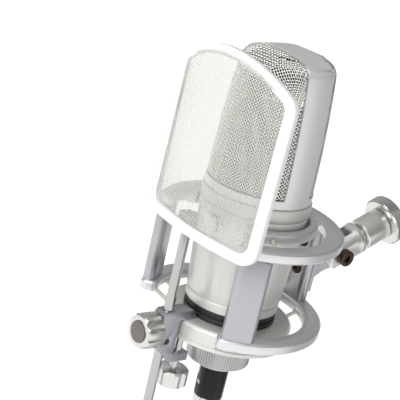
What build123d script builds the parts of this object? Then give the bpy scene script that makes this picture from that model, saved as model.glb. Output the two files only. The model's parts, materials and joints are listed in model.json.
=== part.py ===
from build123d import *
import os
from math import cos, sin, radians

# Side-address studio microphone in an elastic shock mount, with a curved pop filter on a rod.
# The microphone stands upright: its axis is +Z and the mount's open side faces -Y.
# Shapes are built with the cradle plate's top face at z = 0 and the microphone's axis at
# x = y = 0, and are moved at the end so that the stand thread's mouth is the origin.

# ---- microphone -------------------------------------------------------------
mic_turn = 5.5            # the microphone's front against the mount's front, about Z
gasket_radius = 29.0
gasket_height = 8.0
base_height = 6.0
seam = 0.5                # visible joint lines between the casing's shells
body_low_radius = 29.7
body_high_radius = 33.9
body_wall = 2.0
body_length = 58.5
collar_height = 7.5
collar_wall = 3.0
head_length = 89.0
head_radius = 33.3
head_shoulder_radius = 29.4
shoulder_drop = 11.0      # the shoulder's height below the head's top
head_corner_width = 9.4   # the rounded top corners, seen from the front
head_crown = 2.6          # rise of the top between its corners
brow_drop = 22.0          # where the grilles begin to lean back towards the band
band_half = 10.5          # half the width of the head's solid band
band_wall = 3.0
head_ring_height = 5.0
grille_wall = 1.2
grille_inset = 0.5
grille_gap = 1.2          # shadow gap between the band and a grille
mesh_inset = 3.4
mesh_wall = 0.5
capsule_radius = 17.0
capsule_depth = 8.0
capsule_height = 43.0     # capsule centre above the head's floor
diaphragm_wall = 0.4
floor_wall = 2.5
rail_width = 5.0
board_size = (46.0, 44.0)
board_wall = 1.6
transformer_size = (20.0, 16.0, 18.0)
badge_size = (19.0, 10.0)
badge_corner = 5.0        # how far its pointed ends run in
badge_wall = 0.6
badge_drop = 9.5          # its centre below the body tube's top

# ---- base, connector and cable plug ----------------------------------------
stub_radius = 16.5
stub_drop = 35.5          # the stub's end below the plate's top
stub_clearance = 0.5
nut_thread_clearance = 0.08
receptacle_radius = 8.1
receptacle_depth = 15.0
pin_radius = 1.2
pin_circle = 3.8
pin_length = 11.5
pin_clearance = 0.05
plug_radius = 9.5
plug_gap = 0.4
plug_sleeve_radius = 7.6
plug_sleeve_length = 12.0
plug_length = 24.0
plug_wall = 1.4
plug_band_length = 6.0
boot_length = 26.0
boot_end_radius = 4.5
cord_bore = 3.1
plug_turn = 53.0          # the latch side of the plug, about Z
latch_width = 5.0

# ---- cradle -----------------------------------------------------------------
cradle_ring_outer = 41.0
cradle_ring_inner = 35.6
cradle_ring_low = 62.8
cradle_ring_height = 6.8
cradle_bevel = 0.8
lining_gap = 0.35         # running room between the lining and the microphone
plate_radius = 40.5
plate_floor = 4.0
plate_depth = 12.0
plate_wall = 5.0
plate_lip = 0.8
plate_bevel = 1.6
nut_radius = 20.3
nut_top = -4.0
nut_length = 29.4
nut_cone = 8.0

# ---- mount frame ------------------------------------------------------------
ring_outer = 58.2
ring_inner = 47.0
ring_height = 7.0
ring_bevel = 1.2
ring_end_round = 4.0
lower_ring_top = 5.8
upper_ring_top = 64.6
ring_opening = 43.5       # half the angle of the open side, about -Y
post_radius = 53.5        # post centres from the microphone's axis
post_angles = {"left_post": -146.0, "right_post": -34.0, "rear_post": 90.0}
post_width = 20.0
post_depth = 8.0
strand_offsets = {"left_post": (-13.0, 9.5), "right_post": (-9.5, 13.0), "rear_post": (-16.0, 16.0)}
strand_radius = 1.3
strand_clearance = 0.3
strand_seat = 3.4
screw_radius = 2.5
screw_head_radius = 4.3

# ---- swivel and stand adapter ----------------------------------------------
pivot_radius = 79.5
pivot_height = 35.5
adapter_tilt = 25.0
adapter_radius = 10.6
lug_thickness = 8.0
lug_eye = 10.5
cheek_gap = 0.3
slot_room = 3.0           # between the lug's eye and the slot's floor
cheek_width = 19.0
fork_reach = 19.0
bolt_radius = 3.0
bolt_clearance = 0.05
spigot_radius = 4.0
spigot_length = 6.0
spigot_clearance = 0.06
neck_gap = 0.4
barrel_start = 22.0
barrel_length = 19.5
nose_radius = 9.2
nose_length = 10.0
thread_radius = 7.45      # minor radius of the 5/8"-27 stand thread
thread_length = 18.0
lock_ring_radius = 16.5
lock_ring_length = 8.6
lock_ring_gap = 0.3

# ---- pop filter -------------------------------------------------------------
rod_angle = -88.5
rod_centre = 49.5
rod_radius = 3.0
rod_clearance = 0.08
rod_length = 160.0
rod_bevel = 0.6
clamp_half = 5.0
clamp_back = 55.8
jaw_gap = 1.5             # between the upper jaw's nose and the gasket
throat = 42.6
jaw_height = 5.8
lower_jaw = -23.0
clamp_foot = -28.5
clamp_corner = 2.0        # chamfers on the clamp's upper corners
clamp_slope = (11.5, 10.8)  # the cut across its lower corner
spare_hole_height = -13.5
spare_hole_radius = 2.0
knob_radius = 11.0
knob_height = -6.5
side_knob_length = 13.0
knob_gap = 0.5
screw_shaft = 2.5
screw_running = 0.06
lower_knob_radius = 10.3
lower_knob_length = 10.5
lower_knob_gap = 7.0      # bare screw between the clamp and its knob
knob_cap_share = 0.62     # the cap against the side knob, across
cap_depth = 1.2
cap_rise = 0.8
cap_gap = 0.05
pad_radius = 4.5
pad_height = 1.5
clamp_screw_at = 35.0
scallops = 8
filter_centre = (12.7, -57.5)
filter_facing = -87.5
filter_lean = 1.8         # the filter leans back towards the microphone
filter_radius = 160.0     # bend of the filter's face, seen from above
filter_half_width = 49.8  # along the bend
filter_low = 59.5
filter_side_top = 156.3
filter_top = 172.7
filter_wall = 2.9
filter_band = 6.2
filter_corner = 10.0
screen_wall = 0.5
screen_hold = 2.0         # how deep the screen sits in its frame
bracket_lift = 0.8        # the bracket's foot above the frame's
bracket_height = 9.0
bracket_half = 5.0
bracket_wall = 2.2
bracket_reach = 12.0

# ---- worked out from the sizes above -----------------------------------------
base_low = gasket_height
body_low = base_low + base_height + seam
body_high = body_low + body_length
collar_low = body_high + 2 * seam
head_low = collar_low + collar_height + seam
head_high = head_low + head_length
plug_high = -stub_drop - plug_gap
mic_place = Rot(0, 0, mic_turn)
pivot_place = Rot(0, 0, 90) * Pos(pivot_radius, 0, pivot_height)
adapter_place = pivot_place * Rot(0, -adapter_tilt, 0)
front_place = Rot(0, 0, rod_angle)
barrel_end = barrel_start + barrel_length
thread_mouth = barrel_end + nose_length
mouth_point = (adapter_place * Pos(thread_mouth, 0, 0)).position
strand_angles = [post_angles[post] + offset for post in post_angles for offset in strand_offsets[post]]

parts = {}


def disc(radius, low, high, bore=0.0):
    """A round plate or tube on the Z axis, from low to high."""
    body = Pos(0, 0, (low + high) / 2) * Cylinder(radius, high - low)
    if bore:
        body -= Pos(0, 0, (low + high) / 2) * Cylinder(bore, high - low + 2)
    return body


def along_x(radius, start, end, bore=0.0):
    """A round piece on the local X axis, from start to end."""
    return Rot(0, 90, 0) * disc(radius, start, end, bore)


def along_y(radius, start, end):
    return Rot(-90, 0, 0) * disc(radius, start, end)


def box(x, y, z):
    """A block from pairs of low and high limits."""
    size = (x[1] - x[0], y[1] - y[0], z[1] - z[0])
    middle = ((x[0] + x[1]) / 2, (y[0] + y[1]) / 2, (z[0] + z[1]) / 2)
    return Pos(*middle) * Box(*size)


def sector(outer, inner, low, high, start, end):
    """Part of a flat ring between two angles about Z."""
    with BuildSketch(Plane.XY.offset(low)) as face:
        with BuildLine():
            a = CenterArc((0, 0), outer, start, end - start)
            b = CenterArc((0, 0), inner, start, end - start)
            Line(a @ 0, b @ 0)
            Line(a @ 1, b @ 1)
        make_face()
    return extrude(face.sketch, high - low)


def turned(points):
    """Turn a closed outline of (radius, height) points about Z."""
    outline = Polyline(*[(r, 0, z) for r, z in points], close=True)
    return revolve(make_face(outline), Axis.Z)


def bevel(body, size, heights):
    """Chamfer the round edges that lie at the given heights."""
    edges = [e for e in body.edges() if e.geom_type == GeomType.CIRCLE
             and any(abs(e.center().Z - h) < 0.01 and e.bounding_box().size.Z < 0.01
                     for h in heights)]
    return chamfer(edges, size)


def hex_socket(radius, depth):
    return extrude(RegularPolygon(radius, 6), -depth)


# ---- head --------------------------------------------------------------------
def side_radius(z):
    """The head's radius at a height: nearly upright, then leaning in towards the top."""
    share = (z - head_low) / (head_length - shoulder_drop)
    return head_radius - (head_radius - head_shoulder_radius) * share ** 2.2


def side_curve(inset, top):
    heights = [head_low + (top - head_low) * share for share in (0, 0.35, 0.7, 1)]
    return Spline(*[(side_radius(z) - inset, z) for z in heights])


def front_outline(inset):
    """The head seen from the front: its rounded corners and low crown, wider than its sides."""
    shoulder = head_high - shoulder_drop
    x, z = head_shoulder_radius - inset, head_high - inset - head_crown
    inner, wide = x - head_corner_width, head_radius + 4
    with BuildSketch(Plane.XZ) as face:
        with BuildLine():
            Polyline((0, head_high - inset), (0, head_low), (wide, head_low), (wide, shoulder - 1.5),
                     (x + 1.2, shoulder - 1.5))
            corner = ThreePointArc((x + 1.2, shoulder - 1.5), (x - 2.0, (shoulder + 3 * z) / 4), (inner, z))
            ThreePointArc(corner @ 1, (inner / 2, z + head_crown * 0.75), (0, head_high - inset))
        make_face()
        mirror(about=Plane.YZ)
    return face.sketch


def head_form(inset):
    """The head's outer form, drawn in by inset: round in plan, with leaned-back grilles."""
    block = extrude(front_outline(inset), head_radius + 5, both=True)
    with BuildSketch(Plane.XZ) as half:
        with BuildLine():
            side = side_curve(inset, head_high)
            Polyline(side @ 1, (0, head_high), (0, head_low), side @ 0)
        make_face()
    round_plan = revolve(half.sketch, Axis.Z)
    brow = head_high - brow_drop
    reach = side_radius(brow) - inset
    lean_top = head_high - inset
    wide = head_radius + 5
    with BuildSketch(Plane.YZ) as profile:
        with BuildLine():
            front = Line((-wide, head_low), (-wide, brow))
            start = Line((-wide, brow), (-reach - 1.0, brow)) @ 1
            lean = ThreePointArc(start, (-reach + 4.2, lean_top - 7.0), (-band_half, lean_top))
            Polyline(lean @ 1, (0, lean_top), (0, head_low), front @ 0)
        make_face()
        mirror(about=Plane.YZ)
    leaned = extrude(profile.sketch, wide, both=True)
    return block & round_plan & leaned


def band_zone(extra):
    wide = band_half + extra
    return box((-60, 60), (-wide, wide), (head_low - 5, head_high + 5))


def make_head():
    outer = head_form(0)
    hollow = head_form(band_wall)
    band = (outer - hollow) & band_zone(0)
    ring = (outer - hollow) & disc(head_radius + 5, head_low, head_low + head_ring_height)
    parts["head_band"] = mic_place * (band + ring)
    grille = head_form(grille_inset) - head_form(grille_inset + grille_wall)
    mesh = head_form(mesh_inset) - head_form(mesh_inset + mesh_wall)
    above = disc(head_radius + 5, head_low + head_ring_height + grille_gap / 2, head_high + 5)
    for name, side in (("front", -1), ("rear", 1)):
        half = box((-60, 60), sorted((0, side * 60)), (head_low - 5, head_high + 5))
        open_zone = (above & half) - band_zone(grille_gap)
        parts[name + "_grille"] = mic_place * (grille & open_zone)
        parts[name + "_inner_mesh"] = mic_place * (mesh & (above & half) - band_zone(-2.0))


def make_capsule():
    floor_top = head_low + floor_wall
    middle = head_low + capsule_height
    floor = disc(head_radius - band_wall, head_low, floor_top)
    parts["head_floor"] = mic_place * floor
    ring = Pos(0, 0, middle) * along_y(capsule_radius, -capsule_depth / 2, capsule_depth / 2)
    recess = capsule_depth / 2 - 1.2
    for side in (-1, 1):
        span = sorted((side * recess, side * capsule_depth))
        ring -= Pos(0, 0, middle) * along_y(capsule_radius - 2.5, *span)
    parts["capsule_ring"] = mic_place * ring
    for name, side in (("front", -1), ("rear", 1)):
        span = sorted((side * recess, side * (recess + diaphragm_wall)))
        skin = Pos(0, 0, middle) * along_y(capsule_radius - 2.5, *span)
        parts[name + "_diaphragm"] = mic_place * skin
    post_top = middle - capsule_radius
    post = box((-6, 6), (-3, 3), (floor_top, post_top + 5))
    post += box((-11, 11), (-7, 7), (floor_top, floor_top + 3))
    post -= Pos(0, 0, middle) * along_y(capsule_radius, -10, 10)
    parts["capsule_post"] = mic_place * post


# ---- body ----------------------------------------------------------------------
def make_body():
    tube = turned([(body_low_radius, body_low), (body_high_radius, body_high),
                   (body_high_radius - body_wall, body_high), (body_low_radius - body_wall, body_low)])
    parts["body_tube"] = mic_place * tube
    collar = disc(body_high_radius + 0.2, collar_low, head_low - seam,
                  body_high_radius + 0.2 - collar_wall)
    collar = bevel(collar, 0.5, [collar_low, head_low - seam])
    step = disc(body_high_radius - 0.8, body_high, collar_low, body_high_radius - body_wall - 1)
    lip = disc(head_radius - 1.0, head_low - seam, head_low, head_radius - band_wall)
    parts["body_collar"] = mic_place * (collar + step + lip)
    base = disc(body_low_radius - 0.3, base_low, base_low + base_height, receptacle_radius + 3)
    base = bevel(base, 0.8, [base_low + base_height])
    base += disc(body_low_radius - 1.0, base_low + base_height, body_low, body_low_radius - 4)
    parts["base_cup"] = mic_place * base


def make_chassis():
    low = body_low
    top = head_low
    reach = body_low_radius - body_wall - 2.5
    rails = Part()
    for side in (-1, 1):
        inner, outer = sorted((side * (reach - 3), side * reach))
        rails += box((inner, outer), (-rail_width / 2, rail_width / 2), (base_low + base_height, top))
    parts["chassis_rails"] = mic_place * rails
    half = board_size[0] / 2
    board_low = low + 10
    face = rail_width / 2
    board = box((-half, half), (face, face + board_wall), (board_low, board_low + board_size[1]))
    parts["circuit_board"] = mic_place * board
    cans = Part()
    for x, z, radius in ((-12, 34, 4), (0, 36, 5), (12, 34, 4), (-14, 20, 3)):
        cans += Pos(x, 0, board_low + z) * along_y(radius, face + board_wall, face + board_wall + 10)
    parts["board_capacitors"] = mic_place * cans
    wide, deep, tall = transformer_size
    coil_low = base_low + base_height
    core = box((-wide / 2, wide / 2), (-deep - 1.5, -1.5), (coil_low, coil_low + tall))
    parts["output_transformer"] = mic_place * core


def make_badge():
    """A blank six-sided plate on the casing's front, bent to its surface."""
    height = body_high - badge_drop
    wide, tall = badge_size[0] / 2, badge_size[1] / 2
    tip = wide - badge_corner
    outline = Polyline((wide, 0, 0), (tip, 0, tall), (-tip, 0, tall), (-wide, 0, 0),
                       (-tip, 0, -tall), (tip, 0, -tall), close=True)
    block = Pos(0, 0, height) * extrude(make_face(outline), 60, dir=(0, -1, 0))
    low, high = body_low, body_high
    outer = [(body_low_radius + badge_wall, low), (body_high_radius + badge_wall, high)]
    shell = turned(outer + [(body_high_radius, high), (body_low_radius, low)])
    parts["badge_plate"] = mic_place * (shell & block)


# ---- base stub, connector and plug -----------------------------------------------
def pin_places():
    return [Pos(pin_circle * cos(radians(a)), pin_circle * sin(radians(a)), 0) for a in (30, 150, 270)]


def make_connector():
    bore_top = -stub_drop + receptacle_depth
    stub = disc(stub_radius, -stub_drop, base_low, receptacle_radius)
    stub = bevel(stub, 0.8, [-stub_drop])
    parts["base_stub"] = mic_place * stub
    insert = disc(receptacle_radius, bore_top, bore_top + 6)
    pins = Part()
    for place in pin_places():
        insert -= place * disc(pin_radius, bore_top - 1, bore_top + 7)
        pins += place * disc(pin_radius, bore_top - pin_length, bore_top + 9)
    parts["connector_insert"] = mic_place * insert
    parts["connector_pins"] = mic_place * pins


def make_plug():
    high = plug_high
    low = high - plug_length
    sleeve_top = high + plug_sleeve_length
    shell = disc(plug_radius, low, high, plug_radius - plug_wall)
    shell = bevel(shell, 0.5, [high])
    shell += disc(plug_radius - 0.5, high - 2, high, plug_sleeve_radius - 1)
    shell += disc(plug_sleeve_radius, high - 2, sleeve_top, plug_sleeve_radius - 0.8)
    window = box((-40, 0), (-latch_width / 2 - 0.3, latch_width / 2 + 0.3), (high - 10.3, high - 1.5))
    shell -= window & disc(plug_radius + 5, high - 12, high, plug_radius - 3)
    turn = Rot(0, 0, plug_turn)
    screw_place = Rot(0, 0, -64) * Pos(0, -plug_radius, high - 15)
    shell -= screw_place * along_y(1.6, -1, 1.2)
    parts["plug_shell"] = turn * shell
    parts["plug_screw"] = turn * screw_place * (along_y(1.5, 0.2, 1.2) - box((-0.3, 0.3), (-1, 0.7), (-2, 2)))
    block = disc(plug_sleeve_radius - 0.8, high - 6, sleeve_top - 0.8)
    block -= disc(20, high - 7, high, plug_sleeve_radius - 1.2)
    for place in pin_places():
        block -= mic_place * place * disc(pin_radius + pin_clearance, high - 8, sleeve_top + 1)
    parts["plug_insert"] = block
    latch = disc(plug_radius, high - 10, high - 1.8, plug_radius - 1.3)
    latch &= box((-40, 0), (-latch_width / 2, latch_width / 2), (high - 20, high))
    for step in range(4):
        groove = box((-40, 0), (-5, 5), (high - 9 + 1.8 * step, high - 8.3 + 1.8 * step))
        latch -= groove & disc(plug_radius + 5, high - 12, high, plug_radius - 0.4)
    parts["plug_latch"] = turn * latch
    band = disc(plug_radius - 0.2, low - plug_band_length, low, cord_bore + 2.4)
    parts["plug_band"] = bevel(band, 0.4, [low - plug_band_length])
    end = low - plug_band_length
    boot = turned([(plug_radius - 0.8, end), (boot_end_radius, end - boot_length),
                   (cord_bore, end - boot_length), (cord_bore, end)])
    parts["plug_boot"] = boot


# ---- cradle ------------------------------------------------------------------------
def flank_radius(z):
    lean = (body_high_radius - body_low_radius) / body_length
    return body_low_radius + lean * (z - body_low)


def strand_ends(upper):
    """Both ends of an elastic strand, as (radius, height): outer ring first."""
    if upper:
        return (ring_inner + strand_seat, upper_ring_top - ring_height / 2), \
               (cradle_ring_outer - strand_seat, cradle_ring_low + cradle_ring_height / 2)
    return (ring_inner + strand_seat, lower_ring_top - ring_height / 2), \
           (plate_radius - strand_seat, -plate_depth / 2)


def strand(upper, angle, radius):
    """A straight cord between the outer ring and the cradle, at one angle about Z."""
    (r0, z0), (r1, z1) = strand_ends(upper)
    start, end = Vector(r0, 0, z0), Vector(r1, 0, z1)
    way = end - start
    rod = Plane(origin=start, z_dir=way) * disc(radius, 0, way.length)
    return Rot(0, 0, angle) * rod


def cut_strand_seats(body, upper):
    for angle in strand_angles:
        body -= strand(upper, angle, strand_radius + strand_clearance)
    return body


def make_cradle():
    low, high = cradle_ring_low, cradle_ring_low + cradle_ring_height
    start, end = -90 + ring_opening, 270 - ring_opening
    ring = sector(cradle_ring_outer, cradle_ring_inner, low, high, start, end)
    flat = [e for e in ring.edges() if e.bounding_box().size.Z < 0.01]
    parts["cradle_ring"] = cut_strand_seats(chamfer(flat, cradle_bevel), True)
    gap = lining_gap
    lining = turned([(cradle_ring_inner, low + 1), (cradle_ring_inner, high - 1),
                     (flank_radius(high - 1) + gap, high - 1), (flank_radius(low + 1) + gap, low + 1)])
    parts["ring_lining"] = lining & sector(60, 20, low, high, start + 1, end - 1)
    plate = disc(plate_radius, -plate_depth, 0, stub_radius + stub_clearance)
    plate -= disc(plate_radius - plate_wall, -plate_depth - 1, -plate_floor)
    plate = bevel(plate, plate_bevel, [0])
    plate += disc(plate_radius + plate_lip, -plate_depth, -plate_depth + 2.2, plate_radius - 1)
    for angle in strand_angles:
        slot = box((plate_radius - 1.2, plate_radius + 2), (-2.4, 2.4), (-9.6, -2.6))
        plate -= Rot(0, 0, angle) * slot
    parts["cradle_plate"] = cut_strand_seats(plate, False)
    hole = stub_radius + stub_clearance
    gasket = disc(gasket_radius, 0, gasket_height, hole)
    gasket -= disc(gasket_radius + 1, gasket_height / 2 - 0.6, gasket_height / 2 + 0.6, gasket_radius - 1.2)
    parts["base_gasket"] = gasket
    for name, upper in (("upper_elastics", True), ("lower_elastics", False)):
        parts[name] = Part() + [strand(upper, angle, strand_radius) for angle in strand_angles]


def make_nut():
    low = nut_top - nut_length
    bore = stub_radius + nut_thread_clearance
    body = turned([(bore, low), (nut_radius - 1.2, low), (nut_radius, low + 1.6),
                   (nut_radius, nut_top - nut_cone - 3), (nut_radius - 2.2, nut_top - nut_cone),
                   (nut_radius - 2.2, nut_top), (bore, nut_top)])
    parts["retaining_nut"] = body


# ---- mount frame ---------------------------------------------------------------------
def open_ring(top):
    start, end = -90 + ring_opening, 270 - ring_opening
    ring = sector(ring_outer, ring_inner, top - ring_height, top, start, end)
    ring = fillet(ring.edges().filter_by(Axis.Z), ring_end_round)
    flat = [e for e in ring.edges() if e.bounding_box().size.Z < 0.01]
    return chamfer(flat, ring_bevel)


def post_place(name):
    return Rot(0, 0, post_angles[name]) * Pos(post_radius, 0, 0)


def make_frame():
    upper = cut_strand_seats(open_ring(upper_ring_top), True)
    lower = cut_strand_seats(open_ring(lower_ring_top), False)
    low, high = lower_ring_top, upper_ring_top - ring_height
    face = SlotOverall(post_width, post_depth, rotation=90)
    screws = Part()
    for name in post_angles:
        place = post_place(name)
        post = place * Pos(0, 0, low) * extrude(face, high - low)
        hole = place * disc(screw_radius, low - ring_height - 1, low + 12)
        head_hole = place * disc(screw_head_radius + 0.2, low - ring_height - 1, low - ring_height + 3)
        lower = lower - hole - head_hole
        post -= hole
        parts[name] = post
        shank = disc(screw_radius, low - ring_height + 3, low + 12)
        head = disc(screw_head_radius, low - ring_height + 0.2, low - ring_height + 3)
        socket = Pos(0, 0, low - ring_height + 0.2) * hex_socket(2.2, -1.8)
        screws += place * (shank + head - socket)
    parts["upper_ring"] = upper
    parts["lower_ring"] = lower
    parts["post_screws"] = screws


def lug_screw_place(height):
    return Rot(0, 0, 90) * Pos(post_radius, 0, height)


def make_lug():
    face = post_radius + post_depth / 2
    low, high = lower_ring_top + 0.5, upper_ring_top - ring_height - 0.5
    reach = pivot_radius
    with BuildSketch(Plane.XZ) as web:
        with BuildLine():
            Line((face, low), (face, high))
            top = ThreePointArc((face, high), (face + 7, pivot_height + 14.0), (reach, pivot_height + lug_eye))
            nose = ThreePointArc(top @ 1, (reach + lug_eye, pivot_height), (reach, pivot_height - lug_eye))
            ThreePointArc(nose @ 1, (face + 7, pivot_height - 16.0), (face, low))
        make_face()
    lug = extrude(web.sketch, lug_thickness / 2, both=True)
    pad = box((face, face + 3.5), (-6.5, 6.5), (low + 4, high - 6))
    lug += pad
    lug = Rot(0, 0, 90) * lug
    lug -= pivot_place * along_y(bolt_radius + bolt_clearance, -20, 20)
    screws = Part()
    rear = parts["rear_post"]
    for height in (26.0, 45.0):
        place = lug_screw_place(height)
        inner = -post_depth / 2
        hole = place * along_x(screw_radius, inner - 1, post_depth / 2 + 9)
        rear = rear - hole - place * along_x(screw_head_radius, inner - 1, inner + 2.4)
        lug -= hole
        body = along_x(screw_radius, inner + 2.4, post_depth / 2 + 9)
        body += along_x(screw_head_radius, inner - 0.6, inner + 2.4)
        socket = Pos(inner - 0.6, 0, 0) * Rot(0, -90, 0) * hex_socket(2.2, 1.8)
        screws += place * (body - socket)
    parts["rear_post"] = rear
    parts["pivot_lug"] = lug
    parts["lug_screws"] = screws


# ---- swivel and stand adapter -----------------------------------------------------------
def make_fork():
    inner = lug_thickness / 2 + cheek_gap
    cheek = cheek_width / 2
    body = along_x(adapter_radius, -adapter_radius, fork_reach)
    nose = along_y(adapter_radius, -20, 20) + box((0, 60), (-20, 20), (-20, 20))
    body = body & nose & box((-30, fork_reach - 4), (-cheek, cheek), (-20, 20))
    body += along_x(adapter_radius, fork_reach - 4.5, fork_reach)
    body -= box((-30, lug_eye + slot_room), (-inner, inner), (-30, 30))
    body += along_x(adapter_radius + 0.4, fork_reach - 3, fork_reach)
    body += along_x(adapter_radius - 2.5, fork_reach, barrel_start - neck_gap)
    body += along_x(spigot_radius, fork_reach, barrel_start + spigot_length)
    body -= along_y(bolt_radius + bolt_clearance, -20, 20)
    parts["swivel_fork"] = adapter_place * body
    head = Rot(90, 0, 0) * Pos(0, 0, cheek) * (disc(5.4, 0, 4.6) - Pos(0, 0, 4.6) * hex_socket(2.6, 2.6))
    shank = along_y(bolt_radius, -cheek, cheek + 6)
    bolt = head + shank
    parts["pivot_bolt"] = adapter_place * bolt
    nut = Rot(-90, 0, 0) * Pos(0, 0, cheek) * (extrude(RegularPolygon(5.5, 6), 5) - disc(bolt_radius, -1, 7))
    parts["pivot_nut"] = adapter_place * nut


def make_barrel():
    bore = spigot_radius + spigot_clearance
    body = along_x(adapter_radius, barrel_start, barrel_end)
    body = Rot(0, 90, 0) * bevel(Rot(0, -90, 0) * body, 0.8, [barrel_start, barrel_end])
    body += along_x(nose_radius, barrel_end, thread_mouth)
    body -= along_x(bore, barrel_start - 1, barrel_start + spigot_length + 1)
    body -= along_x(thread_radius, thread_mouth - thread_length, thread_mouth + 1)
    parts["stand_barrel"] = adapter_place * body
    start = barrel_end + lock_ring_gap
    ring = disc(lock_ring_radius, start, start + lock_ring_length, nose_radius + 0.06)
    ring = bevel(ring, 0.9, [start, start + lock_ring_length])
    parts["lock_ring"] = adapter_place * Rot(0, 90, 0) * ring


# ---- clamp ---------------------------------------------------------------------------------
def scalloped(radius, low, high):
    """A hand knob on Z: a disc with hollows round its rim and eased edges."""
    knob = bevel(disc(radius, low, high), 1.2, [low, high])
    hollow = radius * 0.42
    for step in range(scallops):
        turn = Rot(0, 0, 360 / scallops * step)
        knob -= turn * Pos(radius + hollow * 0.72, 0, 0) * disc(hollow, low - 1, high + 1)
    return knob


def make_clamp():
    z0, z1, z2 = clamp_foot, lower_jaw, jaw_height
    clamp_reach = gasket_radius + jaw_gap
    cut, (run, rise) = clamp_corner, clamp_slope
    outline = Polyline((clamp_reach, 0, 0.0), (clamp_reach, 0, z2 - cut), (clamp_reach + 1.5 * cut, 0, z2),
                       (clamp_back - cut, 0, z2), (clamp_back, 0, z2 - cut), (clamp_back, 0, z0 + rise),
                       (clamp_back - run, 0, z0), (clamp_reach, 0, z0), (clamp_reach, 0, z1),
                       (throat, 0, z1), (throat, 0, 0.0), close=True)
    body = extrude(make_face(outline), clamp_half, dir=(0, 1, 0), both=True)
    body -= Pos(rod_centre, 0, 0) * disc(rod_radius + rod_clearance, -60, 60)
    body -= Pos(0, 0, knob_height) * along_x(screw_shaft + screw_running, rod_centre, clamp_back + 1)
    body -= Pos(clamp_screw_at, 0, 0) * disc(screw_shaft + screw_running, z0 - 1, z1 + 1)
    body -= Pos(rod_centre, 0, spare_hole_height) * along_y(spare_hole_radius, 0, clamp_half + 1)
    parts["clamp_frame"] = front_place * body


def make_clamp_screws():
    gap = rod_clearance + 0.1
    side = Pos(0, 0, knob_height)
    start = clamp_back + knob_gap
    shaft = side * along_x(screw_shaft, rod_centre + rod_radius + gap, start)
    knob = side * Rot(0, 90, 0) * scalloped(knob_radius, start, start + side_knob_length)
    end = start + side_knob_length
    cap_radius = knob_radius * knob_cap_share
    recess = side * along_x(cap_radius, end - cap_depth, end + cap_depth)
    parts["rod_knob"] = front_place * (shaft + knob - recess)
    cap = side * along_x(cap_radius - cap_gap, end - cap_depth, end + cap_rise)
    parts["rod_knob_cap"] = front_place * cap
    place = Pos(clamp_screw_at, 0, 0)
    top = -plate_depth
    knob_top = clamp_foot - lower_knob_gap
    screw = disc(screw_shaft, knob_top, top - pad_height)
    knob = scalloped(lower_knob_radius, knob_top - lower_knob_length, knob_top)
    parts["clamp_knob"] = front_place * place * (screw + knob)
    parts["clamp_pad"] = front_place * place * disc(pad_radius, top - pad_height, top)


# ---- pop filter ------------------------------------------------------------------------------
def filter_sheet(outer, wall):
    """A bent sheet standing on the filter's face line; outer is how far its face is set back."""
    facing = radians(filter_facing)
    centre = Pos(filter_centre[0] - filter_radius * cos(facing),
                 filter_centre[1] - filter_radius * sin(facing), 0)
    tube = disc(filter_radius - outer, 0, 220, filter_radius - outer - wall)
    return centre * tube


def filter_outline(inset):
    """The filter's face, seen square on, as a solid block that cuts the bent sheet."""
    half_angle = filter_half_width / filter_radius
    half = filter_radius * sin(half_angle) - inset
    low, side, top = filter_low + inset, filter_side_top - inset * 0.4, filter_top - inset
    corner = filter_corner - inset * 0.6
    with BuildSketch(Plane.XZ) as face:
        with BuildLine():
            Polyline((-half, side), (-half, low), (half, low), (half, side))
            ThreePointArc((half, side), (0, top), (-half, side))
        make_face()
        fillet(face.vertices(), corner)
    block = extrude(face.sketch, 60)
    return Pos(*filter_centre, 0) * Rot(0, 0, filter_facing + 90) * Pos(0, 25, 0) * block


def leaning(shape):
    """Lean a piece of the filter back about the foot of its face."""
    foot = Pos(filter_centre[0], filter_centre[1], filter_low) * Rot(0, 0, filter_facing + 90)
    return foot * Rot(-filter_lean, 0, 0) * foot.inverse() * shape


def make_filter():
    outline = filter_outline(0)
    inner = filter_outline(filter_band)
    middle = filter_outline(filter_band - screen_hold)
    wall = filter_wall
    frame = (filter_sheet(0, wall) & outline) - inner
    screen = filter_sheet((wall - screen_wall) / 2, screen_wall) & middle
    parts["filter_frame"] = leaning(frame - screen)
    parts["filter_screen"] = leaning(screen)
    low = filter_low + bracket_lift
    high = low + bracket_height
    rod_place = front_place * Pos(rod_centre, 0, 0)
    block = disc(rod_radius + bracket_wall, low, high)
    arm = box((-rod_radius, bracket_reach), (-bracket_half, bracket_half), (low, high))
    outside = leaning(filter_sheet(-bracket_reach, bracket_reach + wall))
    bore = disc(rod_radius + rod_clearance, low - 1, high + 1)
    parts["filter_bracket"] = rod_place * (block + arm - bore) - outside
    rod = bevel(disc(rod_radius, high - rod_length, high), rod_bevel, [high - rod_length])
    parts["filter_rod"] = rod_place * rod


def make_parts():
    make_head()
    make_capsule()
    make_body()
    make_chassis()
    make_badge()
    make_connector()
    make_plug()
    make_cradle()
    make_nut()
    make_frame()
    make_lug()
    make_fork()
    make_barrel()
    make_clamp()
    make_clamp_screws()
    make_filter()


make_parts()
os.makedirs("parts", exist_ok=True)
to_origin = Pos(-mouth_point.X, -mouth_point.Y, -mouth_point.Z)
for name, shape in parts.items():
    export_step(to_origin * shape, "parts/" + name + ".step")
print(len(parts), "nodes; the thread's mouth was at", mouth_point)
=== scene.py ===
# %% [markdown]
# # A studio microphone in its shock mount
#
# The real thing is a side-address microphone that hangs on elastic cords inside an aluminium cage. A curved
# pop filter stands in front of it on a chromed rod, and a swivel joins the cage to a boom arm. The engineering
# model already holds every part in its place. This lesson gives those parts their real edges, their woven wire
# and their finishes, without moving any of them.

# %% Load the fixed frame
import json
import math
import bpy
import numpy as np
from mathutils import Matrix, Quaternion, Vector
from mathutils.bvhtree import BVHTree


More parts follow.
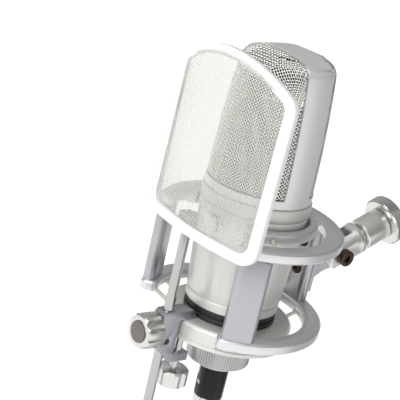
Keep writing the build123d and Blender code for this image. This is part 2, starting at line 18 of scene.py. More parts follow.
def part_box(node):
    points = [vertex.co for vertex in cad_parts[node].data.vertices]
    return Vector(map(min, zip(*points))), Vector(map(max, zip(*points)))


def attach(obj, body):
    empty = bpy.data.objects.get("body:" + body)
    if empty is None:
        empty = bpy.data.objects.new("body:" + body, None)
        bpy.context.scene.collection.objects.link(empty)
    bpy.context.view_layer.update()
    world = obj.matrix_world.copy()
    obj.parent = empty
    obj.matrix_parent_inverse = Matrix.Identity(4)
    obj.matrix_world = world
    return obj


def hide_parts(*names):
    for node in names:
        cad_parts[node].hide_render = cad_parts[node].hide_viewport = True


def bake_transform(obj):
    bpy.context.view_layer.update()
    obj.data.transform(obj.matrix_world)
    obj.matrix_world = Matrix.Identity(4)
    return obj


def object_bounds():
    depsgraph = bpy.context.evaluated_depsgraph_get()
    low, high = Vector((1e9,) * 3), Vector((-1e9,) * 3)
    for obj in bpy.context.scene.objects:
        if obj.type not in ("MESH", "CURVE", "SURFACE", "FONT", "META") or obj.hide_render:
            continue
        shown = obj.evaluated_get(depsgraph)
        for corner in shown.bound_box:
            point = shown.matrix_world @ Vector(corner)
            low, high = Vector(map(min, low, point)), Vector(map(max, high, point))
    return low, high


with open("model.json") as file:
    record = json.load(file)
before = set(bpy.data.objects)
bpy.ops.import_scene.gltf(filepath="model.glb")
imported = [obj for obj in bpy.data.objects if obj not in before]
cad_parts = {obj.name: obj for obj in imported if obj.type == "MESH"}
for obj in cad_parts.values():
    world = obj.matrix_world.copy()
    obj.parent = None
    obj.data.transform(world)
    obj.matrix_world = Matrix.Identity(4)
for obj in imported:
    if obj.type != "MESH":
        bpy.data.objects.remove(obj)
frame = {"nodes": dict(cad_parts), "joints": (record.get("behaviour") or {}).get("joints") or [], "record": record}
cad_low, cad_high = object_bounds()
joints = {joint["name"]: joint for joint in frame["joints"]}
MM = 0.001

# %% [markdown]
# ## The camera and the light
#
# The camera comes first, so that every later step can be judged in the same picture. It stands in front and to
# the right of the microphone, a little above it, and is rolled by about thirteen degrees, so the upright
# microphone seems to lean. A long lens keeps the cage's rings from spreading. The place that it aims at is
# given as a fixed point, and turning the view direction by the roll gives the tilt.

# %% Camera
VIEW_AZIMUTH = math.radians(49.0)
VIEW_HEIGHT = math.radians(19.0)
VIEW_ROLL = math.radians(-12.96)
VIEW_DISTANCE = 0.830
LENS = 115.2
AIM = Vector((-0.0566, -0.1205, -0.0066))

backward = Vector((math.sin(VIEW_AZIMUTH) * math.cos(VIEW_HEIGHT),
                   -math.cos(VIEW_AZIMUTH) * math.cos(VIEW_HEIGHT), math.sin(VIEW_HEIGHT)))
camera_data = bpy.data.cameras.new("studio_camera")
camera_data.lens = LENS
camera_data.sensor_width = 36.0
camera = bpy.data.objects.new("studio_camera", camera_data)
bpy.context.collection.objects.link(camera)
camera.location = AIM + backward * VIEW_DISTANCE
camera.rotation_mode = "QUATERNION"
level = (-backward).to_track_quat("-Z", "Y")
camera.rotation_quaternion = level @ Quaternion((0, 0, 1), -VIEW_ROLL)
bpy.context.scene.camera = camera
bpy.context.scene.view_settings.view_transform = "Standard"
print("camera at", [round(c, 3) for c in camera.location])

# %% [markdown]
# Product pictures like this one are lit almost from everywhere: a white sweep below, and one large soft light
# in front and above. Metal shows its form by what it mirrors, so the room gets darker to the right. That
# draws a grey flank on the casing and a dark streak down every polished rod. The soft light is a sun lamp with
# a very wide disc, because it lights the object and the far floor alike, and a soft shadow hardly shows.

# %% Light
SOFT_WAY = Vector((0.28, -0.72, 0.64)).normalized()
ROOM_STRENGTH = 0.50
SOFT_STRENGTH = 1.75
FLOOR_DROP = 0.35

soft_data = bpy.data.lights.new("soft_box", "SUN")
soft_data.energy = SOFT_STRENGTH
soft_data.angle = math.radians(56)
soft_box = bpy.data.objects.new("soft_box", soft_data)
bpy.context.collection.objects.link(soft_box)
soft_box.rotation_mode = "QUATERNION"
soft_box.rotation_quaternion = SOFT_WAY.to_track_quat("Z", "Y")

world = bpy.data.worlds.new("studio_room")
bpy.context.scene.world = world
world.use_nodes = True
room = world.node_tree
coordinates = room.nodes.new("ShaderNodeTexCoord")
towards = room.nodes.new("ShaderNodeVectorMath")
towards.operation = "DOT_PRODUCT"
towards.inputs[1].default_value = (-0.40, -0.72, 0.56)
shade = room.nodes.new("ShaderNodeMapRange")
shade.inputs["From Min"].default_value = -0.6
shade.inputs["From Max"].default_value = 0.8
shade.inputs["To Min"].default_value = 0.45
shade.inputs["To Max"].default_value = 1.0
room.links.new(coordinates.outputs["Generated"], towards.inputs[0])
room.links.new(towards.outputs["Value"], shade.inputs["Value"])
room.links.new(shade.outputs["Result"], room.nodes["Background"].inputs["Color"])
room.nodes["Background"].inputs["Strength"].default_value = ROOM_STRENGTH

bpy.ops.object.select_all(action="DESELECT")
bpy.ops.mesh.primitive_plane_add(size=30.0, location=(0, 0, cad_low.z - FLOOR_DROP))
floor = bpy.context.object
floor.name = "floor"
print("floor at", round(floor.location.z, 3))

# %% [markdown]
# ## Writing finishes as sums
#
# A finish is a small calculation: take the place on the surface, make a pattern from it, and let the pattern
# move the colour, the roughness or the height. Blender draws that as boxes and wires. Here a socket is wrapped
# in a class that knows how to add and multiply, so that a finish reads like the sum that it is. Colours are
# mixed by Mix nodes, because a Math node would turn them grey.

# %% A socket that can be added and multiplied
class Value:
    def __init__(self, finish, socket):
        self.finish = finish
        self.socket = socket

    def _math(self, operation, first, second):
        return self.finish.node("ShaderNodeMath", {"operation": operation}, {0: first, 1: second})

    def __add__(self, other):
        return self._math("ADD", self, other)

    def __sub__(self, other):
        return self._math("SUBTRACT", self, other)

    def __rsub__(self, other):
        return self._math("SUBTRACT", other, self)

    def __mul__(self, other):
        return self._math("MULTIPLY", self, other)

    __radd__ = __add__
    __rmul__ = __mul__

    def power(self, exponent):
        return self._math("POWER", self, exponent)


class Finish:
    """One material. Its methods add nodes and return what comes out of them."""

    def __init__(self, name, **sockets):
        self.material = bpy.data.materials.new(name)
        self.material.use_nodes = True
        self.tree = self.material.node_tree
        self.shader = self.tree.nodes["Principled BSDF"]
        for socket, value in sockets.items():
            self.shader.inputs[socket.replace("_", " ").title()].default_value = value

    def node(self, kind, settings, inputs, out=0):
        node = self.tree.nodes.new(kind)
        for key, value in settings.items():
            if key == "stops":
                node.color_ramp.elements[0].position, first = value[0]
                node.color_ramp.elements[1].position, last = value[-1]
                node.color_ramp.elements[0].color = (first, first, first, 1)
                node.color_ramp.elements[1].color = (last, last, last, 1)
            else:
                setattr(node, key, value)
        for key, value in inputs.items():
            if isinstance(value, Value):
                self.tree.links.new(value.socket, node.inputs[key])
            else:
                node.inputs[key].default_value = value
        return Value(self, node.outputs[out])

    def place(self, scale=(1, 1, 1), turn=(0, 0, 0)):
        """The place on the piece, in metres, stretched or turned as a pattern needs it."""
        spot = self.node("ShaderNodeTexCoord", {}, {}, "Object")
        return self.node("ShaderNodeMapping", {}, {"Vector": spot, "Scale": scale, "Rotation": turn})

    def noise(self, place, scale, detail=2.0):
        return self.node("ShaderNodeTexNoise", {}, {"Vector": place, "Scale": scale, "Detail": detail})

    def ramp(self, value, low, high):
        return self.node("ShaderNodeValToRGB", {"stops": (low, high)}, {"Fac": value})

    def mix(self, share, first, second):
        settings = {"data_type": "RGBA"}
        node = self.tree.nodes.new("ShaderNodeMix")
        node.data_type = settings["data_type"]
        for socket, value in (("Factor", share), ("A", first), ("B", second)):
            target = [s for s in node.inputs if s.name == socket and s.type == ("VALUE" if socket == "Factor"
                                                                                  else "RGBA")][0]
            if isinstance(value, Value):
                self.tree.links.new(value.socket, target)
            else:
                target.default_value = value
        return Value(self, [s for s in node.outputs if s.type == "RGBA"][0])

    def bump(self, height, distance, strength=1.0):
        return self.node("ShaderNodeBump", {}, {"Height": height, "Distance": distance, "Strength": strength})

    def set(self, **links):
        for socket, value in links.items():
            self.tree.links.new(value.socket, self.shader.inputs[socket.replace("_", " ").title()])
        return self.material


def rgba(red, green, blue):
    return (red, green, blue, 1.0)


print("finishes can be written now")

# %% [markdown]
# The pale floor gives back a little light of its own, so that it stays white far behind the object. In one
# direction, to the right and behind, painted shade turns its colour and its glow grey, as paper looks beyond
# the reach of the lamps. The direction is a dot product of two unit vectors, so the painted shade is a wedge
# and leaves the rest of the floor white.

# %% Floor finish
PAINTED_SHADE_WAY = (math.cos(math.radians(70)), math.sin(math.radians(70)), 0.0)


def white_floor():
    finish = Finish("white_floor", roughness=0.9, emission_strength=1.0)
    unit = finish.node("ShaderNodeVectorMath", {"operation": "NORMALIZE"}, {0: finish.place()})
    facing = finish.node("ShaderNodeVectorMath", {"operation": "DOT_PRODUCT"}, {0: unit, 1: PAINTED_SHADE_WAY}, "Value")
    # painted shade: the floor's colour and glow go grey in this wedge, to the right of and behind the object
    painted_shade_wedge = finish.node("ShaderNodeMapRange", {"interpolation_type": "SMOOTHSTEP"},
                        {"Value": facing, "From Min": 0.68, "From Max": 0.94})
    cloud = finish.noise(finish.place(), 0.6) * 0.02
    paper_and_painted_shade = finish.mix(painted_shade_wedge + cloud, rgba(0.92, 0.92, 0.92), rgba(0.42, 0.42, 0.43))
    glow_dimmed_by_painted_shade = finish.mix(painted_shade_wedge, rgba(0.46, 0.46, 0.46), rgba(0.10, 0.10, 0.10))
    return finish.set(base_color=paper_and_painted_shade, emission_color=glow_dimmed_by_painted_shade)


floor.data.materials.append(white_floor())

# %% [markdown]
# ## The casing's lacquer
#
# The microphone's shells are turned and stamped brass, sprayed with a silver lacquer. Close up, such a lacquer
# has a very fine orange peel, a slight drift in tone from shell to shell, and it is a little glossier where
# hands polish it. Two noises do that: a broad one for the drift and a very small one for the grain.

# %% Lacquer and anodised aluminium
def lacquer(name, light, dark, metallic, rough, coat=0.0, drifting=0.06):
    finish = Finish(name, metallic=metallic, coat_weight=coat, coat_roughness=0.12)
    drift = finish.noise(finish.place(), 45.0, 3.0)
    grain = finish.noise(finish.place(), 2600.0, 1.0)
    colour = finish.mix(drift, rgba(*dark), rgba(*light))
    return finish.set(base_color=colour, roughness=drift * drifting + (rough - drifting / 2),
                      normal=finish.bump(grain, 0.00001))


def blasted(name, light, dark, rough, metallic=0.9):
    """Bead-blasted and anodised aluminium: tiny even pits under a soft sheen."""
    finish = Finish(name, metallic=metallic)
    pits = finish.noise(finish.place(), 3600.0, 2.0)
    cloud = finish.noise(finish.place(), 60.0, 4.0)
    colour = finish.mix(cloud, rgba(*dark), rgba(*light))
    return finish.set(base_color=colour, roughness=cloud * 0.12 + pits * 0.08 + (rough - 0.10),
                      normal=finish.bump(pits, 0.00003))


casing_lacquer = lacquer("casing_lacquer", (0.735, 0.74, 0.705), (0.695, 0.70, 0.665), 0.45, 0.38)
# painted light: the head band's lacquer is a copy of the casing's lacquer, painted lighter so that the band's top
# and front come out brighter
band_lacquer_painted_lighter = lacquer("band_lacquer_painted_lighter", (0.80, 0.81, 0.80), (0.77, 0.78, 0.77), 0.40, 0.32)
cage_metal = blasted("cage_metal", (0.76, 0.77, 0.78), (0.72, 0.73, 0.74), 0.36, 0.8)
swivel_metal = blasted("swivel_metal", (0.80, 0.795, 0.77), (0.74, 0.735, 0.71), 0.28)
post_metal = blasted("post_metal", (0.50, 0.51, 0.53), (0.45, 0.46, 0.48), 0.32)
clamp_metal = blasted("clamp_metal", (0.42, 0.42, 0.455), (0.38, 0.38, 0.415), 0.34)
nut_metal = blasted("nut_metal", (0.48, 0.495, 0.49), (0.43, 0.445, 0.44), 0.40)
filter_enamel = lacquer("filter_enamel", (0.90, 0.90, 0.89), (0.885, 0.885, 0.875), 0.0, 0.26, 0.2, 0.02)
print("lacquer, anodised metal and enamel are ready")

# %% [markdown]
# Turned metal is different: a lathe leaves rings round the axis, and a drawn rod has lines along it. Stretching
# a noise along one axis gives such lines. Chrome hides them, and shows only faint cloudy smears.

# %% Bright metals
def drawn(name, colour, rough, stretch, strength=0.00001):
    """Metal with fine lines: the pattern is squeezed hard along one or two axes."""
    finish = Finish(name, metallic=1.0)
    lines = finish.noise(finish.place(scale=stretch), 900.0, 3.0)
    shaded = finish.mix(lines, rgba(*[c * 0.90 for c in colour]), rgba(*colour))
    return finish.set(base_color=shaded, roughness=lines * 0.12 + (rough - 0.06),
                      normal=finish.bump(lines, strength))


def polished(name, colour, rough):
    finish = Finish(name, metallic=1.0)
    smear = finish.noise(finish.place(), 120.0, 4.0)
    tone = finish.mix(smear, rgba(*[c * 0.95 for c in colour]), rgba(*colour))
    return finish.set(base_color=tone, roughness=smear * 0.08 + rough,
                      normal=finish.bump(finish.noise(finish.place(), 1500.0), 0.000004))


rod_chrome = polished("rod_chrome", (0.52, 0.52, 0.51), 0.10)
ring_chrome = polished("ring_chrome", (0.70, 0.69, 0.67), 0.12)
turned_knob = polished("turned_knob", (0.72, 0.71, 0.69), 0.22)
bright_steel = drawn("bright_steel", (0.62, 0.62, 0.61), 0.26, (1, 1, 0.08))
dark_bolt = drawn("dark_bolt", (0.10, 0.065, 0.05), 0.34, (1, 0.2, 1))
wire_steel = drawn("wire_steel", (0.93, 0.93, 0.88), 0.26, (1, 1, 1), 0.000004)
gilt = polished("gilt", (0.83, 0.62, 0.28), 0.18)
print("bright metals are ready")

# %% [markdown]
# Rubber, moulded plastic and cloth take the rest. Rubber is nearly black but never quite: its skin is matt with
# a faint bloom. The braid of an elastic cord is two sets of threads that cross, so two sets of slanting waves
# are multiplied to make its height, and the same product darkens the hollows between the threads as painted shade.

# %% Rubber, plastic, braid and felt
def rubber(name, tone, rough):
    finish = Finish(name)
    bloom = finish.noise(finish.place(), 260.0, 5.0)
    skin = finish.noise(finish.place(), 3000.0, 1.0)
    colour = finish.mix(bloom, rgba(tone, tone, tone), rgba(tone * 1.9, tone * 1.9, tone * 1.95))
    return finish.set(base_color=colour, roughness=bloom * 0.15 + rough, normal=finish.bump(skin, 0.00003))


def moulded(name, colour, rough, coat=0.0):
    finish = Finish(name, coat_weight=coat, coat_roughness=0.05)
    flow = finish.noise(finish.place(), 150.0, 4.0)
    shaded = finish.mix(flow, rgba(*[c * 0.8 for c in colour]), rgba(*colour))
    return finish.set(base_color=shaded, roughness=flow * 0.06 + rough,
                      normal=finish.bump(finish.noise(finish.place(), 1800.0), 0.000008))


def braid():
    finish = Finish("elastic_braid", roughness=0.85)
    waves = []
    for slant in (0.8, -0.8):
        place = finish.place(turn=(slant, 0.5, slant))
        wave = finish.node("ShaderNodeTexWave", {"wave_type": "BANDS"}, {"Vector": place, "Scale": 420.0}, "Fac")
        waves.append(wave)
    height = waves[0] * waves[1]
    # painted shade: the braid's colour is darker where the threads' height is low, in the hollows between them
    colour = finish.mix(height, rgba(0.70, 0.67, 0.58), rgba(0.95, 0.93, 0.87))
    return finish.set(base_color=colour, normal=finish.bump(height, 0.0002))


black_rubber = rubber("black_rubber", 0.012, 0.42)
boot_rubber = rubber("boot_rubber", 0.018, 0.55)
felt = rubber("grey_felt", 0.10, 0.85)
plug_gloss = moulded("plug_gloss", (0.008, 0.007, 0.009), 0.16)
plug_gloss.node_tree.nodes["Principled BSDF"].inputs["Specular IOR Level"].default_value = 0.25
cap_matt = moulded("cap_matt", (0.17, 0.155, 0.135), 0.48)
insulator = moulded("insulator", (0.03, 0.03, 0.03), 0.45)
board_green = moulded("board_green", (0.02, 0.13, 0.06), 0.35, coat=0.3)
can_sleeve = moulded("can_sleeve", (0.02, 0.03, 0.16), 0.30)
# painted shade: the solid inner meshes are coloured nearly black for the dark inside of the head that shows
# through the grille wires
inner_mesh_painted_shade = moulded("inner_mesh_painted_shade", (0.012, 0.012, 0.010), 0.7)
inner_mesh_painted_shade.node_tree.nodes["Principled BSDF"].inputs["Specular IOR Level"].default_value = 0.1
elastic_braid = braid()
print("rubber, plastic and braid are ready")

# %% [markdown]
# ## Real edges
#
# An engineering model has perfectly sharp edges, and a real part never does: every machined edge is broken by
# a small chamfer or rounding, and that thin line catches the light. Each visible CAD part is therefore copied,
# its loose triangles are merged, flat areas are joined into single faces, and a Bevel modifier rounds what is
# left sharp. The copy replaces the CAD part and stays inside its outline, because a bevel only cuts corners.

# %% Helpers for copies with eased edges
def alone(piece):
    bpy.ops.object.select_all(action="DESELECT")
    piece.select_set(True)
    bpy.context.view_layer.objects.active = piece


def finished(piece, body, slot, material, *nodes):
    """A piece gets its finish, the body that it moves with, and the CAD parts that it stands for."""
    piece.data.materials.clear()
    piece.data.materials.append(material)
    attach(piece, body)
    if nodes:
        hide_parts(*nodes)
    return piece


def body_of_node(node):
    return next(name for name, nodes in frame["record"]["behaviour"]["bodies"].items() if node in nodes)


def slot_of_node(node):
    return next(p["material_slot"] for p in frame["record"]["subparts"] if p["node"] == node)


def merged_copy(node, name):
    source = frame["nodes"][node]
    piece = bpy.data.objects.new(name, source.data.copy())
    bpy.context.collection.objects.link(piece)
    alone(piece)
    bpy.ops.object.mode_set(mode="EDIT")
    bpy.ops.mesh.select_all(action="SELECT")
    bpy.ops.mesh.remove_doubles(threshold=0.000002)
    bpy.ops.mesh.dissolve_limited(angle_limit=math.radians(0.5))
    bpy.ops.object.mode_set(mode="OBJECT")
    return piece


def eased(node, material, width, segments=2, limit=28.0):
    piece = merged_copy(node, node + "_eased")
    edge = piece.modifiers.new("edge", "BEVEL")
    edge.width = width
    edge.segments = segments
    edge.limit_method = "ANGLE"
    edge.angle_limit = math.radians(limit)
    edge.miter_outer = "MITER_ARC"
    bpy.ops.object.modifier_apply(modifier="edge")
    bpy.ops.object.shade_smooth_by_angle(angle=math.radians(35))
    return finished(piece, body_of_node(node), slot_of_node(node), material, node)


EASED = [
    ("body_tube", casing_lacquer, 0.25),
    ("body_collar", casing_lacquer, 0.25), ("base_cup", casing_lacquer, 0.25),
    ("cradle_plate", casing_lacquer, 0.3), ("base_gasket", black_rubber, 0.5),
    ("cradle_ring", cage_metal, 0.3), ("upper_ring", cage_metal, 0.3), ("lower_ring", cage_metal, 0.3),
    ("left_post", post_metal, 0.4), ("right_post", post_metal, 0.4), ("rear_post", post_metal, 0.4),
    ("pivot_lug", cage_metal, 0.6), ("swivel_fork", swivel_metal, 0.5), ("stand_barrel", swivel_metal, 0.4),
    ("clamp_frame", clamp_metal, 0.5), ("rod_knob", turned_knob, 0.5), ("rod_knob_cap", cap_matt, 0.3),
    ("clamp_knob", turned_knob, 0.5), ("filter_frame", filter_enamel, 0.7), ("filter_bracket", bright_steel, 0.4),
    ("filter_rod", rod_chrome, 0.2), ("pivot_bolt", dark_bolt, 0.3), ("lug_screws", dark_bolt, 0.3),
    ("post_screws", bright_steel, 0.3), ("pivot_nut", bright_steel, 0.3), ("plug_shell", plug_gloss, 0.2),
    ("plug_band", ring_chrome, 0.3), ("plug_boot", boot_rubber, 0.4), ("plug_latch", bright_steel, 0.1),
    ("badge_plate", bright_steel, 0.15), ("base_stub", casing_lacquer, 0.2),
]
for node, material, width in EASED:
    eased(node, material, width * MM)
print(len(EASED), "parts have eased edges")

# %% [markdown]
# The head's solid band is pressed from sheet, so its top edge is rounded on every side, also where the band
# is at its narrowest. Each point near that edge is drawn in to a circle of nine millimetres. The grilles will
# be drawn in by the same rule, so that they stay flush with the band.

# %% Head band
AXIS = Vector(joints["microphone_turn"]["pos_m"])
HEAD_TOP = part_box("head_band")[1].z
CORNER = 9.0 * MM
CORNER_REACH = 20.4 * MM
CORNER_HEIGHT = HEAD_TOP - 11.6 * MM


def round_off(point, inset=0.0):
    """Draw a point in to the rounded top edge of the head. Points inside it stay where they are."""
    beside = Vector((point.x - AXIS.x, point.y - AXIS.y, 0))
    out, up = beside.length - CORNER_REACH, point.z - CORNER_HEIGHT
    away = math.hypot(out, up)
    limit = CORNER - inset
    if out <= 0 or up <= 0 or away <= limit:
        return point.copy()
    reach = CORNER_REACH + out * limit / away
    middle = beside.normalized() * reach
    return Vector((AXIS.x + middle.x, AXIS.y + middle.y, CORNER_HEIGHT + up * limit / away))


def head_band():
    piece = merged_copy("head_band", "head_band_eased")
    bpy.ops.object.mode_set(mode="EDIT")
    for step in range(1, 26):
        bpy.ops.mesh.select_all(action="SELECT")
        bpy.ops.mesh.bisect(plane_co=(0, 0, HEAD_TOP - step * MM / 2), plane_no=(0, 0, 1))
    bpy.ops.object.mode_set(mode="OBJECT")
    for vertex in piece.data.vertices:
        vertex.co = round_off(vertex.co)
    piece.data.update()
    bpy.ops.object.shade_smooth_by_angle(angle=math.radians(38))
    return finished(piece, "microphone", "body_satin", band_lacquer_painted_lighter, "head_band")


head_band()
print("head band rounded below", round(HEAD_TOP, 4))

# %% [markdown]
# What sits inside keeps its CAD shape and only takes a finish: the capsule, the circuit board, the transformer
# and the connector's pins are seen through openings or when the microphone is taken apart.

# %% Inner parts
INNER = {
    "front_inner_mesh": inner_mesh_painted_shade, "rear_inner_mesh": inner_mesh_painted_shade, "head_floor": bright_steel,
    "capsule_ring": gilt, "front_diaphragm": gilt, "rear_diaphragm": gilt, "capsule_post": insulator,
    "chassis_rails": bright_steel, "circuit_board": board_green, "board_capacitors": can_sleeve,
    "output_transformer": bright_steel, "connector_insert": insulator, "connector_pins": gilt,
    "plug_insert": insulator, "plug_screw": bright_steel, "ring_lining": felt, "clamp_pad": bright_steel,
}
for node, material in INNER.items():
    for place in frame["nodes"][node].material_slots:
        place.material = material
print(len(INNER), "inner parts have a finish")

# %% [markdown]
# ## Woven wire
#
# The head's grilles are woven from two sets of wires that cross at right angles, each going over and under the
# other, and the cloth is pressed to the head's shape. A picture of a weave would look flat at the edges, so the
# wires are real. The cloth is thought out flat, with two numbers for each point: how far round the head, and
# how far up. A ray from the head's middle plane then finds where that point lies on the pressed surface. Above
# the brow the rays fan upwards, so the cloth folds over towards the band as over a roller, without stretching.

# %% Wires from paths
def wire_cloth(name, paths, radius):
    """Thin wires along lists of points, as one mesh."""
    data = bpy.data.curves.new(name, "CURVE")
    data.dimensions = "3D"
    data.bevel_depth = radius
    data.bevel_resolution = 0
    data.use_fill_caps = True
    for path in paths:
        wire = data.splines.new("POLY")
        wire.points.add(len(path) - 1)
        wire.points.foreach_set("co", [c for point in path for c in (*point, 1.0)])
    piece = bpy.data.objects.new(name, data)
    bpy.context.collection.objects.link(piece)
    alone(piece)
    bpy.ops.object.convert(target="MESH")
    piece = bpy.context.object
    bpy.ops.object.shade_smooth()
    return piece


def surface_of(node):
    mesh = frame["nodes"][node].data
    return BVHTree.FromPolygons([v.co for v in mesh.vertices], [p.vertices for p in mesh.polygons])


print("wires can be drawn along paths")

# %% The two head grilles
MICROPHONE_TURN = math.radians(5.5)
WIRE_PITCH = 1.62 * MM
WIRE_RADIUS = 0.42 * MM
WIRE_RISE = 0.36 * MM
BROW_DROP = 26.0 * MM
HEAD_REACH = 32.5 * MM
CORNER_INSET = 0.5 * MM


def woven_point(surface, side, across, up, rise, low, brow):
    """A point of the flat cloth, found on the pressed surface. None where the cloth ends."""
    facing = math.radians(90 * side) + MICROPHONE_TURN
    front = Vector((math.cos(facing), math.sin(facing), 0))
    beside = Vector((-front.y, front.x, 0)) * HEAD_REACH * math.sin(across / HEAD_REACH)
    climb = max(0.0, up - (brow - low)) / HEAD_REACH
    heart = Vector((AXIS.x, AXIS.y, min(low + up, brow))) + beside
    way = front * math.cos(climb) + Vector((0, 0, math.sin(climb)))
    hit, normal, index, distance = surface.ray_cast(heart + way * 0.08, -way)
    if hit is None or distance > 0.08 or normal.dot(way) < 0.15:
        return None
    return round_off(hit, CORNER_INSET) + way * (rise - WIRE_RADIUS - WIRE_RISE)


def woven_grille(node, side):
    surface = surface_of(node)
    low_corner, high_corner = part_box(node)
    low, brow = low_corner.z, high_corner.z - BROW_DROP
    reach = int(0.075 / WIRE_PITCH)
    paths = []
    for family in (1, -1):
        for wire in range(-reach, reach + 1):
            path = []
            for step in range(-2 * reach, 2 * reach + 1):
                along, beside = step * WIRE_PITCH / 2, wire * WIRE_PITCH
                across = (along * family + beside) * math.sqrt(0.5)
                up = (along - beside * family) * math.sqrt(0.5) + 0.045
                crossing = step // 2 + wire
                lift = 0 if step % 2 else (family if crossing % 2 else -family) * WIRE_RISE
                point = None
                if abs(across) < 0.05 and up > 0:
                    point = woven_point(surface, side, across, up, lift, low, brow)
                if point is not None:
                    path.append(point)
                elif path:
                    paths.append(path)
                    path = []
            paths.append(path)
    paths = [path for path in paths if len(path) > 1]
    piece = wire_cloth(node + "_woven", paths, WIRE_RADIUS)
    print(node, len(paths), "wires,", len(piece.data.polygons), "faces")
    return finished(piece, "microphone", "grille_wire", wire_steel, node)


woven_grille("front_grille", -1)
woven_grille("rear_grille", 1)

# %% [markdown]
# ## The pop filter's screen
#
# The screen is far finer: round wires a third of a millimetre thick, a little over a millimetre apart. It is
# bent round one upright axis, so its upright wires are straight and the others are arcs. The axis is found from
# the CAD screen itself, by laying a circle through its points.

# %% Screen
SCREEN_PITCH = 1.05 * MM
SCREEN_WIRE = 0.17 * MM


def bend_axis(node):
    """The upright axis and radius of a bent sheet, from a circle laid through its points."""
    points = np.array([v.co for v in frame["nodes"][node].data.vertices])
    x, y = points[:, 0], points[:, 1]
    system = np.stack([2 * x, 2 * y, np.ones(len(x))], axis=1)
    a, b, c = np.linalg.lstsq(system, x * x + y * y, rcond=None)[0]
    return float(a), float(b), math.sqrt(c + a * a + b * b)


def screen_point(surface, axis, angle, height):
    heart = Vector((axis[0], axis[1], height))
    way = Vector((math.cos(angle), math.sin(angle), 0))
    hit = surface.ray_cast(heart, way)[0]
    return None if hit is None else heart + way * axis[2]


def filter_screen():
    surface = surface_of("filter_screen")
    axis = bend_axis("filter_screen")
    low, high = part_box("filter_screen")
    middle = math.atan2((low.y + high.y) / 2 - 0.02 - axis[1], (low.x + high.x) / 2 - axis[0])
    turn = SCREEN_PITCH / axis[2]
    count = int(0.9 / turn)
    paths = []
    for column in range(-count, count + 1):
        angle = middle + column * turn
        rows = [low.z + 0.0002 + row * 0.001 for row in range(int((high.z - low.z) * 1000) + 1)]
        hits = [screen_point(surface, axis, angle, height) for height in rows]
        hits = [point for point in hits if point is not None]
        if len(hits) > 1:
            paths.append([hits[0], hits[-1]])
    for row in range(int((high.z - low.z) / SCREEN_PITCH) + 1):
        height = low.z + 0.0004 + row * SCREEN_PITCH
        arc = [screen_point(surface, axis, middle + step * turn * 2, height) for step in range(-count, count + 1)]
        arc = [point for point in arc if point is not None]
        if len(arc) > 1:
            paths.append(arc)
    piece = wire_cloth("filter_screen_woven", paths, SCREEN_WIRE)
    print("screen:", len(paths), "wires,", len(piece.data.polygons), "faces")
    return finished(piece, "pop_filter", "filter_mesh", wire_steel, "filter_screen")


filter_screen()

# %% [markdown]
# ## Turned and knurled parts
#
# The nut under the cradle and the ring on the stand adapter are turned on a lathe and then knurled with a
# wheel that presses straight grooves. The way to make them is the lathe's way: draw half of the outline, spin
# it round the axis, and then push every second column of points inwards.

# %% Lathe helper
def lathe(name, outline, steps):
    """Spin a closed outline of (radius, height) points round Z."""
    mesh = bpy.data.meshes.new(name)
    count = len(outline)
    mesh.from_pydata([(r, 0, z) for r, z in outline], [(i, (i + 1) % count) for i in range(count)], [])
    piece = bpy.data.objects.new(name, mesh)
    bpy.context.collection.objects.link(piece)
    alone(piece)
    bpy.ops.object.mode_set(mode="EDIT")
    bpy.ops.mesh.select_all(action="SELECT")
    bpy.ops.mesh.spin(steps=steps, angle=math.tau, center=(0, 0, 0), axis=(0, 0, 1))
    bpy.ops.mesh.select_all(action="SELECT")
    bpy.ops.mesh.remove_doubles(threshold=0.000005)
    bpy.ops.mesh.normals_make_consistent(inside=False)
    bpy.ops.object.mode_set(mode="OBJECT")
    return piece


def knurl(piece, steps, low, high, outer, depth):
    """Push every second column of the rim's points in, between two heights."""
    for vertex in piece.data.vertices:
        x, y, z = vertex.co
        radius = math.hypot(x, y)
        column = round(math.atan2(y, x) / math.tau * steps)
        if low <= z <= high and radius > outer - 0.0001 and column % 2:
            vertex.co = (x * (1 - depth / radius), y * (1 - depth / radius), z)
    return piece


def settle(piece, matrix):
    """Move the mesh itself to its place, so that the object stays at the origin."""
    piece.data.transform(matrix)
    piece.data.update()
    alone(piece)
    bpy.ops.object.shade_smooth_by_angle(angle=math.radians(25))
    return piece


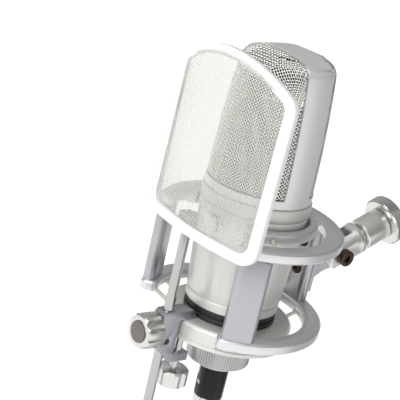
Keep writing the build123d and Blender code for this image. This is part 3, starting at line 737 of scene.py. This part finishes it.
def retaining_nut():
    low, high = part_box("retaining_nut")
    outer = (high.x - low.x) / 2
    bore = 16.6 * MM
    tall = high.z - low.z
    steps = 156
    knurl_high = tall - 12.4 * MM
    outline = [(bore, 0), (outer - 1.3 * MM, 0), (outer - 0.5 * MM, 0.5 * MM), (outer, 1.3 * MM),
               (outer, knurl_high), (outer - 0.7 * MM, knurl_high + 0.5 * MM),
               (outer - 2.3 * MM, knurl_high + 3.4 * MM), (outer - 2.3 * MM, tall), (bore, tall)]
    piece = lathe("retaining_nut_knurled", outline, steps)
    knurl(piece, steps, 0.001, knurl_high + 0.0001, outer, 0.42 * MM)
    settle(piece, Matrix.Translation((AXIS.x, AXIS.y, low.z)))
    return finished(piece, "retaining_nut", "nut_metal", nut_metal, "retaining_nut")


def lock_ring():
    joint = joints["lock_ring_turn"]
    way = Vector(joint["axis"]).normalized()
    points = [Vector(v.co) for v in frame["nodes"]["lock_ring"].data.vertices]
    heart = Vector(joint["pos_m"])
    along = [(point - heart).dot(way) for point in points]
    outer = max(((point - heart) - way * (point - heart).dot(way)).length for point in points)
    bore = min(((point - heart) - way * (point - heart).dot(way)).length for point in points)
    tall = max(along) - min(along)
    steps = 132
    edge = 1.1 * MM
    outline = [(bore, 0), (outer - edge, 0), (outer, edge), (outer, tall - edge), (outer - edge, tall),
               (outer - 3.2 * MM, tall), (outer - 3.6 * MM, tall - 0.5 * MM), (bore, tall - 0.5 * MM)]
    piece = lathe("lock_ring_knurled", outline, steps)
    knurl(piece, steps, edge * 0.9, tall - edge * 0.9, outer, 0.55 * MM)
    turn = way.to_track_quat("Z", "Y").to_matrix().to_4x4()
    settle(piece, Matrix.Translation(heart + way * min(along)) @ turn)
    return finished(piece, "lock_ring", "chrome", ring_chrome, "lock_ring")


retaining_nut()
lock_ring()
print("nut and lock ring are knurled")

# %% [markdown]
# ## Elastic cords
#
# Twelve short cords carry the cradle, six above and six below. They are the one soft thing here, and they
# stretch when the cradle bobs. Here each set keeps its CAD shape and takes the braid's finish. A cord is fuller
# in the middle than at its ends, where the seats pinch it.

# %% Cords
def elastic_cords(node, start_node, end_node):
    mesh = frame["nodes"][node].data
    piece = merged_copy(node, node + "_braided")
    bpy.ops.object.mode_set(mode="EDIT")
    bpy.ops.mesh.select_all(action="SELECT")
    bpy.ops.object.mode_set(mode="OBJECT")
    low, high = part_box(node)
    bpy.ops.object.shade_smooth_by_angle(angle=math.radians(50))
    piece.data.materials.clear()
    piece.data.materials.append(elastic_braid)
    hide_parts(node)
    centre = (low.z + high.z) / 2
    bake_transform(piece)
    print(node, len(mesh.vertices), "points in the CAD cords, centred at", round(centre, 4))
    return piece


elastic_cords("upper_elastics", "upper_ring", "cradle_ring")
elastic_cords("lower_elastics", "lower_ring", "cradle_plate")
